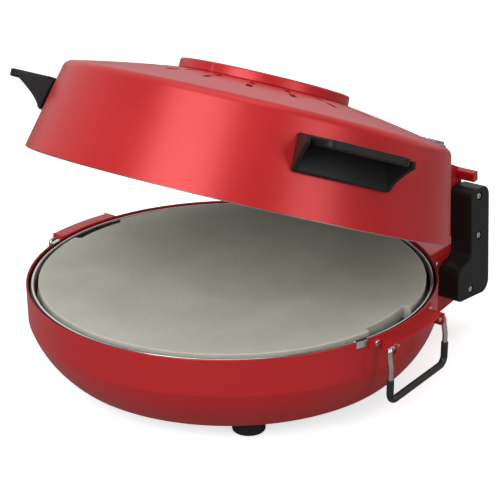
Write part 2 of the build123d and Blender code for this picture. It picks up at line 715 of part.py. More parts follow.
with BuildPart() as strap_rivets:
    for bearing in (55, 70, 110, 125):
        face = lid_radial(bearing)
        middle = (STRAP_LOW + STRAP_HIGH) / 2
        draft = atan2(LID_R - LID_TOP_R, LID_WALL_H)
        outward = face.x_dir * cos(draft) + LID.z_dir * sin(draft)
        centre = face.from_local_coords(Vector(wall_r(middle), middle, 0))
        with BuildSketch(Plane(origin=centre + outward * (STRAP_T + 0.15), z_dir=outward)):
            Circle(4)
        extrude(amount=1.6)
keep(strap_rivets, "strap_rivets")

# ---- hinge blocks, pins and their screws --------------------------------------------
BLOCK_T = 2.4
BLOCK_CORNERS = (   # y, z and corner radius, round the boot-shaped outline
    (155.5, 134.8, 9.0), (186.0, 133.4, 11.0), (195.6, 31.5, 10.0),
    (142.3, 36.0, 8.0), (141.8, 66.5, 9.0), (162.0, 71.0, 7.0),
)
BLOCK_SCREWS = ((169.9, 126.8), (PIVOT_Y, PIVOT_Z), (164.0, 42.5))


def block_outline(inset):
    """The boot-shaped outline with rounded corners, moved inward by inset."""
    with BuildSketch() as outline:
        with BuildLine():
            Polyline(*[(y, z) for y, z, _ in BLOCK_CORNERS], close=True)
        make_face()
        for y, z, r in BLOCK_CORNERS:
            fillet(outline.vertices().sort_by_distance((y, z))[0], r)
        if inset:
            offset(amount=-inset, mode=Mode.REPLACE)
    return outline.sketch


outer_outline = block_outline(0)
inner_outline = block_outline(BLOCK_T)
plate_outline = block_outline(BLOCK_T + 0.2)
INSIDE_FACE = Plane.YZ.offset(BLOCK_IN)

with BuildPart() as right_hinge_block:
    with BuildSketch(INSIDE_FACE):
        add(outer_outline)
    extrude(amount=BLOCK_OUT - BLOCK_IN)
    fillet(right_hinge_block.faces().sort_by(Axis.X)[-1].edges(), 1.2)
    with BuildSketch(INSIDE_FACE):
        add(inner_outline)
    extrude(amount=BLOCK_OUT - BLOCK_IN - BLOCK_T, mode=Mode.SUBTRACT)
    with BuildSketch(INSIDE_FACE.offset(2.4)):
        with Locations(*BLOCK_SCREWS):
            Circle(6.5)
    extrude(amount=BLOCK_OUT - BLOCK_IN - 3)
    with BuildSketch(INSIDE_FACE.offset(2)):
        with Locations(BLOCK_SCREWS[1]):
            Circle(PIN_R + 0.02)
    extrude(amount=11, mode=Mode.SUBTRACT)
    with BuildSketch(INSIDE_FACE.offset(2)):
        with Locations(*BLOCK_SCREWS):
            Circle(1.6)
    extrude(amount=30, mode=Mode.SUBTRACT)
    with BuildSketch(Plane.YZ.offset(BLOCK_OUT)):
        with Locations(*BLOCK_SCREWS):
            Circle(3.8)
    extrude(amount=-1.8, mode=Mode.SUBTRACT)
keep(right_hinge_block, "right_hinge_block")

with BuildPart() as right_hinge_plate:
    with BuildSketch(INSIDE_FACE):
        add(plate_outline)
        with Locations(BLOCK_SCREWS[1]):
            Circle(PIN_R + 0.02, mode=Mode.SUBTRACT)
        with Locations(BLOCK_SCREWS[0], BLOCK_SCREWS[2]):
            Circle(1.6, mode=Mode.SUBTRACT)
    extrude(amount=2.2)
keep(right_hinge_plate, "right_hinge_plate")

with BuildPart() as right_hinge_pin:
    with BuildSketch(Plane.YZ.offset(ARM_IN - 2.6)):
        with Locations((PIVOT_Y, PIVOT_Z)):
            Circle(6.5)
    extrude(amount=2.2)
    with BuildSketch(Plane.YZ.offset(ARM_IN - 1)):
        with Locations((PIVOT_Y, PIVOT_Z)):
            Circle(PIN_R)
    extrude(amount=BLOCK_IN + 12.8 - ARM_IN)
    with BuildSketch(Plane.YZ.offset(BLOCK_IN + 3)):
        with Locations((PIVOT_Y, PIVOT_Z)):
            Circle(1.55)
    extrude(amount=12, mode=Mode.SUBTRACT)
keep(right_hinge_pin, "right_hinge_pin")

right_screws = [
    cap_screw(Plane(origin=(BLOCK_OUT - 1.75, y, z), x_dir=(0, 1, 0), z_dir=(1, 0, 0)), 2.7, 1.4, 1.5, 13)
    for y, z in BLOCK_SCREWS
]
with BuildPart() as hinge_block_screws:
    add(right_screws)
    mirror(right_screws, about=Plane.YZ)
keep(hinge_block_screws, "hinge_block_screws")

side_screw = cap_screw(Plane(origin=(HOUSING_X + GAP, 138.4, 69.2), x_dir=(0, 1, 0), z_dir=(1, 0, 0)), 3, 1.8, 1, 0.02)
with BuildPart() as housing_screws:
    add(side_screw)
    mirror(side_screw, about=Plane.YZ)
keep(housing_screws, "housing_screws")

with BuildPart() as left_hinge_block:
    mirror(right_hinge_block.part, about=Plane.YZ)
keep(left_hinge_block, "left_hinge_block")
with BuildPart() as left_hinge_plate:
    mirror(right_hinge_plate.part, about=Plane.YZ)
keep(left_hinge_plate, "left_hinge_plate")
with BuildPart() as left_hinge_pin:
    mirror(right_hinge_pin.part, about=Plane.YZ)
keep(left_hinge_pin, "left_hinge_pin")

# ---- carrying bails -----------------------------------------------------------------
EAR_T, EAR_LOW = 1.5, 69.0
FLANGE_TOP, FLANGE_R = 79.3, 184.5
BRACKET_IN = SHELL_R + GAP
STRIP_LOW = 73.0
bracket_middle = degrees(asin(EAR_Y / FLANGE_R))
ear_angle = degrees(asin(EAR_HALF / FLANGE_R))
STRIP_HALF = ear_angle + 4.6

with BuildPart() as right_bail_bracket:
    with BuildSketch(radial_plane(bracket_middle - STRIP_HALF)):
        with BuildLine():
            Polyline(
                (BRACKET_IN, STRIP_LOW), (BRACKET_IN + EAR_T, STRIP_LOW),
                (BRACKET_IN + EAR_T, FLANGE_TOP), (BRACKET_IN, FLANGE_TOP), close=True,
            )
        make_face()
    revolve(axis=Axis.Z, revolution_arc=2 * STRIP_HALF)
    with BuildSketch(radial_plane(bracket_middle - ear_angle)):
        with BuildLine():
            Polyline(
                (BRACKET_IN, FLANGE_TOP - EAR_T), (FLANGE_R, FLANGE_TOP - EAR_T),
                (FLANGE_R, FLANGE_TOP), (BRACKET_IN, FLANGE_TOP), close=True,
            )
        make_face()
    revolve(axis=Axis.Z, revolution_arc=2 * ear_angle)
    for side in (1, -1):
        near = EAR_Y + side * EAR_HALF - EAR_T / 2
        with BuildSketch(Plane.XZ.offset(-near)) as ear:
            with BuildLine():
                Polyline(
                    (164, EAR_LOW + 3), (175, EAR_LOW), (FLANGE_R - 1.2, EAR_LOW),
                    (FLANGE_R - 1.2, FLANGE_TOP), (164, FLANGE_TOP), close=True,
                )
            make_face()
            fillet(ear.vertices().sort_by_distance((FLANGE_R - 1.2, EAR_LOW))[0], 3)
            with Locations((BAIL_PIVOT_X, BAIL_PIVOT_Z)):
                Circle(WIRE_R + 0.08, mode=Mode.SUBTRACT)
        extrude(amount=-EAR_T)
    add(base_envelope.part, mode=Mode.SUBTRACT)
keep(right_bail_bracket, "right_bail_bracket")

with BuildPart() as left_bail_bracket:
    mirror(right_bail_bracket.part, about=Plane.YZ)
keep(left_bail_bracket, "left_bail_bracket")

bracket_screw_list = []
for offset_angle in (-ear_angle - 2.3, ear_angle + 2.3):
    face = radial_plane(bracket_middle + offset_angle)
    spot = face.from_local_coords(Vector(BRACKET_IN + EAR_T + GAP, 76.4, 0))
    bracket_screw_list.append(cap_screw(Plane(origin=spot, z_dir=face.x_dir), 2.6, 1.6, 1, 0.02))
with BuildPart() as bracket_screws:
    add(bracket_screw_list)
    mirror(bracket_screw_list, about=Plane.YZ)
keep(bracket_screws, "bracket_screws")

CLIP_SHEET, CLIP_ARC = 0.5, 3.6
with BuildPart() as rim_clips:
    with BuildSketch(radial_plane(bracket_middle - STRIP_HALF - 0.5 - CLIP_ARC)):
        with BuildLine():
            Polyline(
                (SHELL_R + GAP, 76), (SHELL_R + GAP + CLIP_SHEET, 76),
                (SHELL_R + GAP + CLIP_SHEET, RIM_Z + GAP + CLIP_SHEET),
                (SHELL_R - SHEET - GAP - CLIP_SHEET, RIM_Z + GAP + CLIP_SHEET),
                (SHELL_R - SHEET - GAP - CLIP_SHEET, 77), (SHELL_R - SHEET - GAP, 77),
                (SHELL_R - SHEET - GAP, RIM_Z + GAP), (SHELL_R + GAP, RIM_Z + GAP), close=True,
            )
        make_face()
    revolve(axis=Axis.Z, revolution_arc=CLIP_ARC)
    mirror(rim_clips.part, about=Plane.YZ)
keep(rim_clips, "rim_clips")

GRIP_X, BEND, GRIP_BEND = 182.2, 3.4, 7.0
NEAR_Z, FAR_Z = 31.6, 35.0      # height of the grip below the front leg and the back leg
NEAR_SLEEVE, FAR_SLEEVE = 50.8, 53.8
NEAR_Y, FAR_Y = BAIL_Y - BAIL_HALF, BAIL_Y + BAIL_HALF
leg_upper = [(BAIL_PIVOT_X, BAIL_PIVOT_Z), (BAIL_PIVOT_X + 0.3, 69.0), (GRIP_X, 60.5)]
wire_points = [(BAIL_PIVOT_X, EAR_Y - EAR_HALF + 3.5, BAIL_PIVOT_Z)]
wire_points += [(x, NEAR_Y, z) for x, z in leg_upper + [(GRIP_X, NEAR_Z)]]
wire_points += [(x, FAR_Y, z) for x, z in [(GRIP_X, FAR_Z)] + leg_upper[::-1]]
wire_points += [(BAIL_PIVOT_X, EAR_Y + EAR_HALF - 3.5, BAIL_PIVOT_Z)]
wire_radii = [BEND, 6, 6, GRIP_BEND, GRIP_BEND, 6, 6, BEND]

with BuildPart() as right_bail_wire:
    with BuildLine() as route:
        FilletPolyline(*wire_points, radius=wire_radii)
    with BuildSketch(Plane(origin=route.line @ 0, z_dir=route.line % 0)):
        Circle(WIRE_R)
    sweep()
keep(right_bail_wire, "right_bail_wire")

with BuildPart() as right_bail_sleeve:
    with BuildLine() as grip_route:
        FilletPolyline(
            (GRIP_X, NEAR_Y, NEAR_SLEEVE), (GRIP_X, NEAR_Y, NEAR_Z),
            (GRIP_X, FAR_Y, FAR_Z), (GRIP_X, FAR_Y, FAR_SLEEVE),
            radius=GRIP_BEND,
        )
    with BuildSketch(Plane(origin=grip_route.line @ 0, z_dir=grip_route.line % 0)):
        Circle(SLEEVE_R)
        Circle(WIRE_R + 0.03, mode=Mode.SUBTRACT)
    sweep()
keep(right_bail_sleeve, "right_bail_sleeve")

with BuildPart() as left_bail_wire:
    mirror(right_bail_wire.part, about=Plane.YZ)
keep(left_bail_wire, "left_bail_wire")
with BuildPart() as left_bail_sleeve:
    mirror(right_bail_sleeve.part, about=Plane.YZ)
keep(left_bail_sleeve, "left_bail_sleeve")
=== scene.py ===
# %% [markdown]
# # A countertop pizza oven, finished piece by piece
# The oven comes from CAD as a fixed frame: every node is in its real place, in metres, with +Z up
# and the front towards -Y. This lesson adds what CAD leaves out: smooth pressed steel with real
# vents, a baking stone with grain, moulded handles, plated wire, and a procedural finish for each.

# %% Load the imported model
import json
from math import cos, hypot, pi, radians, sin

import bpy
import numpy as np
from mathutils import Matrix, Vector


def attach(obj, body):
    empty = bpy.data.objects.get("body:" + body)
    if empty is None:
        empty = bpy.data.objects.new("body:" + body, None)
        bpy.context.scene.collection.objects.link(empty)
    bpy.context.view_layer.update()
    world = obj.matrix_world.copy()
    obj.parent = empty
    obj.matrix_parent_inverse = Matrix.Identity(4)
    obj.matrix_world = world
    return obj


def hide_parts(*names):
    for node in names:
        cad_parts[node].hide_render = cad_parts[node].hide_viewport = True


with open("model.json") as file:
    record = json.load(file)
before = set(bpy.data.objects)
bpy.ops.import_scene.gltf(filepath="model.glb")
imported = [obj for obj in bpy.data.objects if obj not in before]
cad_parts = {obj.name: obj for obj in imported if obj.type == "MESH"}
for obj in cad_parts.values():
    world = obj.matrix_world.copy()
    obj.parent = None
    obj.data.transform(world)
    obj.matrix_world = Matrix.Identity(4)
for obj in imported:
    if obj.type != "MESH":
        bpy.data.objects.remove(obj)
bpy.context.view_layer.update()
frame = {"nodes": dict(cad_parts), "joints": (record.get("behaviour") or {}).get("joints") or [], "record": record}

# %% [markdown]
# ## Camera first
# A long lens keeps the round body's ellipses calm, as in a catalogue picture. The camera is
# placed by turning round the oven, then rising, and it looks at a point near the stone. Its
# three axes are worked out, so that a small roll can be added.

# %% The camera
CAMERA_TURN, CAMERA_RISE, CAMERA_ROLL = radians(39.2), radians(21.8), radians(-0.5)
CAMERA_AWAY, AIM_RIGHT, AIM_UP = 1.1536, 0.0147, 0.0983
LENS = 100.47


def view_axes(turn, rise):
    """Right, up and backward unit vectors of a camera turned round Z and raised."""
    right = Vector((cos(turn), sin(turn), 0))
    back = Vector((sin(turn) * cos(rise), -cos(turn) * cos(rise), sin(rise)))
    return right, back.cross(right), back


right, up, back = view_axes(CAMERA_TURN, CAMERA_RISE)
rolled_right = right * cos(CAMERA_ROLL) + up * sin(CAMERA_ROLL)
rolled_up = up * cos(CAMERA_ROLL) - right * sin(CAMERA_ROLL)
camera = bpy.data.objects.new("camera", bpy.data.cameras.new("camera"))
bpy.context.scene.collection.objects.link(camera)
camera.data.lens, camera.data.sensor_width = LENS, 36
turned_to = Matrix((rolled_right, rolled_up, back)).transposed().to_4x4()
camera.matrix_world = Matrix.Translation(
    right * AIM_RIGHT + Vector((0, 0, AIM_UP)) + back * CAMERA_AWAY
) @ turned_to
bpy.context.scene.camera = camera
print("camera at", tuple(round(v, 3) for v in camera.location))

# %% [markdown]
# ## Light and stage
# Satin paint only shows its shape when something broad is mirrored in it. So the studio has
# large soft boxes, a surround that is brightest behind the oven, and a white paper floor.

# %% Soft boxes, surround and floor
OVEN_MIDDLE_Z = 0.12


def softbox(name, turn, rise, away, width, height, power):
    """A rectangular lamp that faces the middle of the oven from a turn and a rise in degrees."""
    right, up, back = view_axes(radians(turn), radians(rise))
    lamp = bpy.data.lights.new(name, "AREA")
    lamp.shape, lamp.size, lamp.size_y, lamp.energy = "RECTANGLE", width, height, power
    box = bpy.data.objects.new(name, lamp)
    bpy.context.scene.collection.objects.link(box)
    facing = Matrix((right, up, back)).transposed().to_4x4()
    box.matrix_world = Matrix.Translation(back * away + Vector((0, 0, OVEN_MIDDLE_Z))) @ facing
    return box


softbox("key_softbox", 8, 34, 1.5, 0.9, 1.1, 15)
softbox("side_softbox", 82, 20, 1.8, 0.6, 1.2, 8)
softbox("top_softbox", 20, 84, 1.6, 1.2, 1.2, 5.5)

surround = bpy.data.worlds.new("white_surround")
surround.use_nodes = True
sky = surround.node_tree
heading = sky.nodes.new("ShaderNodeTexCoord")
towards_wall = sky.nodes.new("ShaderNodeVectorMath")
towards_wall.operation = "DOT_PRODUCT"
towards_wall.inputs[1].default_value = tuple(Vector((-right.y, right.x, 0.15)))
brightness = sky.nodes.new("ShaderNodeMapRange")
brightness.interpolation_type = "SMOOTHSTEP"
for socket, value in zip(("From Min", "From Max", "To Min", "To Max"), (-0.45, 0.55, 0.06, 0.76)):
    brightness.inputs[socket].default_value = value
sky.links.new(heading.outputs["Generated"], towards_wall.inputs[0])
sky.links.new(towards_wall.outputs["Value"], brightness.inputs["Value"])
sky.links.new(brightness.outputs[0], sky.nodes["Background"].inputs["Strength"])
sky.nodes["Background"].inputs["Color"].default_value = (1, 1, 1, 1)
bpy.context.scene.world = surround
bpy.context.scene.view_settings.view_transform = "Standard"

FLOOR_HALF = 8.0
floor_mesh = bpy.data.meshes.new("pale_floor")
floor_mesh.from_pydata(
    [(x * FLOOR_HALF, y * FLOOR_HALF, -0.0002) for x, y in ((-1, -1), (1, -1), (1, 1), (-1, 1))], [],
    [(0, 1, 2, 3)]
)
pale_floor = bpy.data.objects.new("pale_floor", floor_mesh)
bpy.context.scene.collection.objects.link(pale_floor)
print("stage ready")

# %% [markdown]
# ## Effects shared by the finishes
# Real surfaces are never one flat colour. Each effect below is a node group that is built once
# and placed in many materials with its own numbers: a soft mottle for colour and gloss, a fine
# relief for textured mouldings and stone, drawn lines for rolled steel, and scattered flecks.

# %% A helper for node groups
def new_group(name, inputs, outputs):
    """An empty shader group with named number or colour sockets; gives its tree and two end nodes."""
    tree = bpy.data.node_groups.new(name, "ShaderNodeTree")
    for label, value in inputs.items():
        kind = "NodeSocketColor" if isinstance(value, tuple) else "NodeSocketFloat"
        tree.interface.new_socket(label, in_out="INPUT", socket_type=kind).default_value = value
    for label, kind in outputs.items():
        tree.interface.new_socket(label, in_out="OUTPUT", socket_type="NodeSocket" + kind)
    return tree, tree.nodes.new("NodeGroupInput"), tree.nodes.new("NodeGroupOutput")


def add_node(tree, kind, links=(), **settings):
    """A node of this kind with its settings, and links given as (source socket, own input)."""
    node = tree.nodes.new("ShaderNode" + kind)
    for label, value in settings.items():
        if label in node.bl_rna.properties:
            setattr(node, label, value)
        else:
            node.inputs[label.replace("_", " ")].default_value = value
    for source, target in links:
        tree.links.new(source, node.inputs[target])
    return node


# %% Soft mottle: two colours mixed by large soft noise
mottle, start, end = new_group(
    "soft_mottle",
    {"Scale": 20.0, "Contrast": 1.0, "Low": (0.4, 0.4, 0.4, 1), "High": (0.6, 0.6, 0.6, 1)},
    {"Color": "Color", "Value": "Float"},
)
where = add_node(mottle, "TexCoord").outputs["Object"]
cloud = add_node(mottle, "TexNoise", [(where, "Vector"), (start.outputs["Scale"], "Scale")], Detail=3.0)
centred = add_node(mottle, "Math", [(cloud.outputs["Fac"], 0)], operation="SUBTRACT")
centred.inputs[1].default_value = 0.5
spread = add_node(
    mottle, "Math", [(centred.outputs[0], 0), (start.outputs["Contrast"], 1)], operation="MULTIPLY_ADD",
    use_clamp=True
)
spread.inputs[2].default_value = 0.5
blend = add_node(
    mottle, "Mix", [(spread.outputs[0], 0), (start.outputs["Low"], 6), (start.outputs["High"], 7)],
    data_type="RGBA"
)
mottle.links.new(blend.outputs[2], end.inputs["Color"])
mottle.links.new(spread.outputs[0], end.inputs["Value"])

# %% Fine relief: the height of a textured moulding, orange peel or stone grain
relief, start, end = new_group("fine_relief", {"Scale": 800.0, "Roughness": 0.5}, {"Height": "Float"})
where = add_node(relief, "TexCoord").outputs["Object"]
grain = add_node(
    relief, "TexNoise",
    [(where, "Vector"), (start.outputs["Scale"], "Scale"), (start.outputs["Roughness"], "Roughness")],
    Detail=4.0
)
relief.links.new(grain.outputs["Fac"], end.inputs["Height"])

# %% Drawn lines: noise stretched along X, as rolling leaves in sheet steel
drawn, start, end = new_group("drawn_lines", {"Scale": 40.0}, {"Value": "Float"})
where = add_node(drawn, "TexCoord").outputs["Object"]
stretched = add_node(drawn, "Mapping", [(where, "Vector")])
stretched.inputs["Scale"].default_value = (1, 26, 26)
lines = add_node(
    drawn, "TexNoise", [(stretched.outputs[0], "Vector"), (start.outputs["Scale"], "Scale")], Detail=2.0
)
drawn.links.new(lines.outputs["Fac"], end.inputs["Value"])

# %% Flecks: scattered round spots, from the distance to random points
flecks, start, end = new_group("flecks", {"Scale": 300.0, "Size": 0.2}, {"Mask": "Float"})
where = add_node(flecks, "TexCoord").outputs["Object"]
cells = add_node(flecks, "TexVoronoi", [(where, "Vector"), (start.outputs["Scale"], "Scale")])
inside = add_node(
    flecks, "Math", [(start.outputs["Size"], 0), (cells.outputs["Distance"], 1)], operation="SUBTRACT"
)
sharpened = add_node(flecks, "Math", [(inside.outputs[0], 0)], operation="MULTIPLY", use_clamp=True)
sharpened.inputs[1].default_value = 12.0
flecks.links.new(sharpened.outputs[0], end.inputs["Mask"])
print("groups:", [g.name for g in bpy.data.node_groups])

# %% [markdown]
# ## The finishes
# Every finish starts from one recipe: a Principled shader whose constants sit on its own
# sockets, and a mottle that drives colour and gloss, with a bump where a grain is given. Flecks
# and drawn lines are added where the real surface has them; drawn lines then drive the gloss.

# %% The recipe for a finish
def use_group(tree, group, **values):
    """A group placed in a material with its own values."""
    node = tree.nodes.new("ShaderNodeGroup")
    node.node_tree = group
    for label, value in values.items():
        node.inputs[label].default_value = value
    return node


def new_finish(
    name, low, high, gloss, scale=14.0, contrast=2.0, grain=None, spots=(), lines=False, **constants
):
    """A procedural finish: low and high are its colours, gloss its two roughness values,
    grain is (scale, depth in metres), and each spot layer is (scale, size, colour)."""
    material = bpy.data.materials.new(name)
    material.use_nodes = True
    tree = material.node_tree
    shader = tree.nodes["Principled BSDF"]
    for label, value in constants.items():
        shader.inputs[label.replace("_", " ")].default_value = value
    base = use_group(tree, mottle, Scale=scale, Contrast=contrast, Low=(*low, 1), High=(*high, 1))
    colour = base.outputs["Color"]
    for spot_scale, size, spot_colour in spots:
        mask = use_group(tree, flecks, Scale=spot_scale, Size=size)
        layer = add_node(tree, "Mix", [(mask.outputs["Mask"], 0), (colour, 6)], data_type="RGBA")
        layer.inputs[7].default_value = (*spot_colour, 1)
        colour = layer.outputs[2]
    tree.links.new(colour, shader.inputs["Base Color"])
    varied = use_group(tree, drawn, Scale=60.0).outputs["Value"] if lines else base.outputs["Value"]
    rough = add_node(tree, "MapRange", [(varied, "Value")], To_Min=gloss[0], To_Max=gloss[1])
    tree.links.new(rough.outputs[0], shader.inputs["Roughness"])
    if grain:
        height = use_group(tree, relief, Scale=grain[0])
        bump = add_node(tree, "Bump", [(height.outputs["Height"], "Height")], Distance=grain[1], Strength=1.0)
        tree.links.new(bump.outputs[0], shader.inputs["Normal"])
    return material


# %% [markdown]
# The red is a satin metallic enamel: a deep red under a thin clear layer, with a faint orange
# peel. Plastic and rubber are nearly black, and their fine grain is what tells them apart.

# %% Paint, plastic and rubber
finishes = {
    "red_paint": new_finish(
        "red_paint", (0.50, 0.014, 0.017), (0.57, 0.019, 0.022), (0.34, 0.40), scale=9, grain=(900, 1.2e-5),
        spots=[(2600, 0.16, (0.66, 0.06, 0.06))], Metallic=0.24, Coat_Weight=0.20, Coat_Roughness=0.26,
        Specular_IOR_Level=0.33,
    ),
    "black_plastic": new_finish(
        "black_plastic", (0.010, 0.010, 0.010), (0.015, 0.014, 0.014), (0.40, 0.50), scale=30,
        grain=(2600, 4e-5),
        Specular_IOR_Level=0.22,
    ),
    "timer_plastic": new_finish(
        "timer_plastic", (0.03, 0.03, 0.03), (0.05, 0.05, 0.05), (0.5, 0.6), grain=(2000, 3e-5)
    ),
    "black_rubber": new_finish(
        "black_rubber", (0.012, 0.012, 0.012), (0.022, 0.021, 0.020), (0.62, 0.75), scale=60,
        grain=(1800, 5e-5), Specular_IOR_Level=0.25
    ),
    "sleeve_rubber": new_finish(
        "sleeve_rubber", (0.010, 0.010, 0.011), (0.016, 0.016, 0.017), (0.34, 0.44), scale=60,
        grain=(1500, 3e-5)
    ),
}

# %% [markdown]
# Bare metals all have full Metallic. What sets them apart is gloss: bright plating is nearly a
# mirror, and rolled sheet has drawn lines. A heater's sheath is burnt brown, and the pan has a
# thin dark enamel, so those two are less metallic.

# %% Metals
def bare_metal(name, low, high, gloss, **more):
    """A finish with full Metallic, put in the table under its own name."""
    finishes[name] = new_finish(name, low, high, gloss, Metallic=1.0, **more)


bare_metal("trim_chrome", (0.72, 0.72, 0.72), (0.82, 0.82, 0.81), (0.10, 0.20), scale=50)
bare_metal("wire_chrome", (0.50, 0.49, 0.46), (0.66, 0.65, 0.62), (0.12, 0.22), scale=90, grain=(700, 1e-5))
bare_metal("screw_chrome", (0.66, 0.66, 0.66), (0.80, 0.80, 0.80), (0.16, 0.26), scale=300)
bare_metal("knob_chrome", (0.30, 0.30, 0.29), (0.38, 0.38, 0.37), (0.18, 0.28), scale=60, lines=True)
bare_metal("screw_steel", (0.50, 0.50, 0.49), (0.62, 0.62, 0.61), (0.28, 0.40), scale=200)
bare_metal("zinc_steel", (0.45, 0.46, 0.47), (0.60, 0.61, 0.62), (0.30, 0.46), scale=70, lines=True)
bare_metal("liner_steel", (0.56, 0.56, 0.55), (0.68, 0.68, 0.66), (0.22, 0.40), scale=12, lines=True)
bare_metal("shield_aluminium", (0.62, 0.62, 0.62), (0.72, 0.72, 0.72), (0.3, 0.45), lines=True)
finishes |= {
    "element_steel": new_finish(
        "element_steel", (0.07, 0.06, 0.06), (0.17, 0.14, 0.12), (0.40, 0.60), scale=45, grain=(1500, 2e-5),
        Metallic=0.8
    ),
    "pan_enamel": new_finish(
        "pan_enamel", (0.022, 0.020, 0.017), (0.05, 0.046, 0.038), (0.16, 0.30), scale=16, grain=(500, 2e-5),
        spots=[(700, 0.16, (0.16, 0.15, 0.13))], Metallic=0.3, Coat_Weight=0.6, Coat_Roughness=0.08,
    ),
}

# %% [markdown]
# The stone is cast cordierite: a warm pale grey with sand-sized specks and small pits. The
# window is clear tempered glass, and the terminal block is glazed-looking pale ceramic.

# %% Stone, ceramic and glass
finishes |= {
    "baking_stone": new_finish(
        "baking_stone", (0.50, 0.49, 0.41), (0.62, 0.61, 0.53), (0.78, 0.92), scale=22, contrast=1.6,
        grain=(420, 3e-4),
        spots=[
            (520, 0.20, (0.40, 0.37, 0.29)), (860, 0.15, (0.74, 0.73, 0.67)), (240, 0.10, (0.27, 0.23, 0.17))
        ],
    ),
    "terminal_ceramic": new_finish(
        "terminal_ceramic", (0.70, 0.68, 0.62), (0.80, 0.78, 0.73), (0.35, 0.45), grain=(900, 2e-5)
    ),
    "window_glass": new_finish(
        "window_glass", (0.86, 0.92, 0.91), (0.92, 0.97, 0.96), (0.01, 0.03), scale=8, Transmission_Weight=1.0,
        IOR=1.5,
    ),
}

# %% [markdown]
# The floor is white paper that glows a little, so it stays an even white far from the lamps. The
# Light Path node turns the glow off and the paper grey for bounced rays. Otherwise the floor
# would light the oven from below, and its underside would lose its shade.

# %% The floor's paper
PAPER_GLOW, PAPER_BOUNCE = 0.62, 0.30
floor_finish = new_finish("floor_paper", (0.88, 0.88, 0.88), (0.91, 0.91, 0.91), (0.7, 0.8), scale=3)
paper = floor_finish.node_tree
path = add_node(paper, "LightPath")
bounced = add_node(
    paper, "Math", [(path.outputs["Is Diffuse Ray"], 0), (path.outputs["Is Glossy Ray"], 1)],
    operation="MAXIMUM"
)
paper_shader = paper.nodes["Principled BSDF"]
paper_colour = paper_shader.inputs["Base Color"].links[0].from_socket
toned = add_node(paper, "Mix", [(bounced.outputs[0], 0), (paper_colour, 6)], data_type="RGBA")
toned.inputs[7].default_value = (PAPER_BOUNCE, PAPER_BOUNCE, PAPER_BOUNCE, 1)
paper.links.new(toned.outputs[2], paper_shader.inputs["Base Color"])
lit = add_node(paper, "MapRange", [(bounced.outputs[0], "Value")], To_Min=PAPER_GLOW, To_Max=0.0)
paper.links.new(lit.outputs[0], paper_shader.inputs["Emission Strength"])
paper_shader.inputs["Emission Color"].default_value = (1, 1, 1, 1)
pale_floor.data.materials.append(floor_finish)

# %% Every CAD node gets the finish that its record names
for part in frame["record"]["subparts"]:
    for holder in frame["nodes"][part["node"]].material_slots:
        holder.material = finishes[part["material_slot"]]
print("finishes:", len(finishes))

# %% [markdown]
# ## Shapes from arrays
# All sizes below are millimetres, and a piece is scaled to metres when it becomes a mesh. A
# shape is a stack of rings of points. Everything else, a turned dish, a plate or a bent wire,
# is only a way to work out those rings as whole arrays.

# %% Frames: where a shape's own x, y and z point
MM = 0.001
X_AXIS, Z_AXIS = np.array((1.0, 0, 0)), np.array((0, 0, 1.0))
hinge = next(j for j in frame["joints"] if j["name"] == "lid_hinge")
PIVOT = np.array(hinge["pos_m"]) / MM
TILT = -radians(hinge["range_deg"][0])
LID_CLOSED_Z = 80.5
lid_y, lid_up = np.array((0, cos(TILT), -sin(TILT))), np.array((0, sin(TILT), cos(TILT)))
BASE = (np.zeros(3), X_AXIS, np.array((0, 1.0, 0)), Z_AXIS)
LID = (PIVOT - PIVOT[1] * lid_y + (LID_CLOSED_Z - PIVOT[2]) * lid_up, X_AXIS, lid_y, lid_up)


def in_frame(points, place):
    """Points given along a frame's own axes, moved to the oven's millimetres."""
    origin, x, y, z = place
    return origin + points[..., 0:1] * x + points[..., 1:2] * y + points[..., 2:3] * z


def unit(vectors):
    """Each vector divided by its length."""
    return vectors / np.maximum(np.linalg.norm(vectors, axis=-1, keepdims=True), 1e-9)


# %% Rounded outlines: a sharp pressed or moulded edge always has a small radius
def rounded(corners, steps=4, hold=0.35):
    """Corners (x, y, radius) to a smooth outline. Each arc slides from one tangent point to the
    other round its centre, and a holding point beyond each end keeps flat sides flat."""
    table = np.array(corners, float)
    p, r = table[:, :2], table[:, 2:]
    back, on = unit(np.roll(p, 1, 0) - p), unit(np.roll(p, -1, 0) - p)
    half = np.arccos(np.clip((back * on).sum(1, keepdims=True), -1, 1)) / 2
    centre = p + unit(back + on) * r / np.sin(half)
    first, last = p + back * r / np.tan(half), p + on * r / np.tan(half)
    turn, t = (pi - 2 * half)[:, None], np.linspace(0, 1, steps + 1)[None, :, None]
    swing = np.sin((1 - t) * turn) * (first - centre)[:, None] + np.sin(t * turn) * (last - centre)[:, None]
    arc = centre[:, None] + swing / np.sin(turn)
    held = hold * (r > 0)
    line = np.concatenate([(first + back * held)[:, None], arc, (last + on * held)[:, None]], 1).reshape(-1, 2)
    return line[np.linalg.norm(line - np.roll(line, 1, 0), axis=1) > 1e-4]


def outward(outline):
    """Unit normals of a closed outline, pointing away from its inside."""
    ahead = np.roll(outline, -1, 0) - np.roll(outline, 1, 0)
    x, y = outline.T
    area = (x * np.roll(y, -1) - np.roll(x, -1) * y).sum()
    return unit(np.stack([ahead[:, 1], -ahead[:, 0]], -1)) * np.sign(area)


